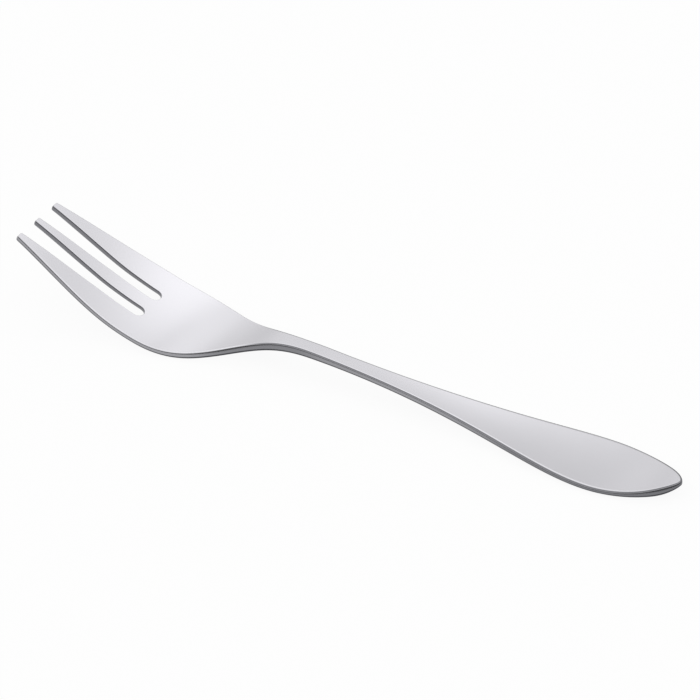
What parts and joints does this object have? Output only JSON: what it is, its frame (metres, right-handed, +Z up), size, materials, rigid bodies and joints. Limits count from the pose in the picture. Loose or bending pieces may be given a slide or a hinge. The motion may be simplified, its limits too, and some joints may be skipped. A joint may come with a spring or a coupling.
{
  "type": "pastry fork",
  "caption": "Small stainless steel dessert fork with slim tapering tines, a shallow dished head, a narrow neck and a leaf-shaped handle.",
  "frame": {"origin": "on the table that the fork lies on, under the middle of its length and width", "axes": "+X along the fork from the tine tips to the end of the handle, +Y across it to the holder's right, +Z up, with the dished side of the head up"},
  "size_m": [0.15, 0.0228, 0.0154],
  "materials": {
    "steel": "bright satin polish"
  },
  "bodies": {
    "root": {"left_tine": "steel", "middle_tine": "steel", "right_tine": "steel", "bowl": "steel", "neck": "steel", "handle": "steel"}
  },
  "joints": []
}
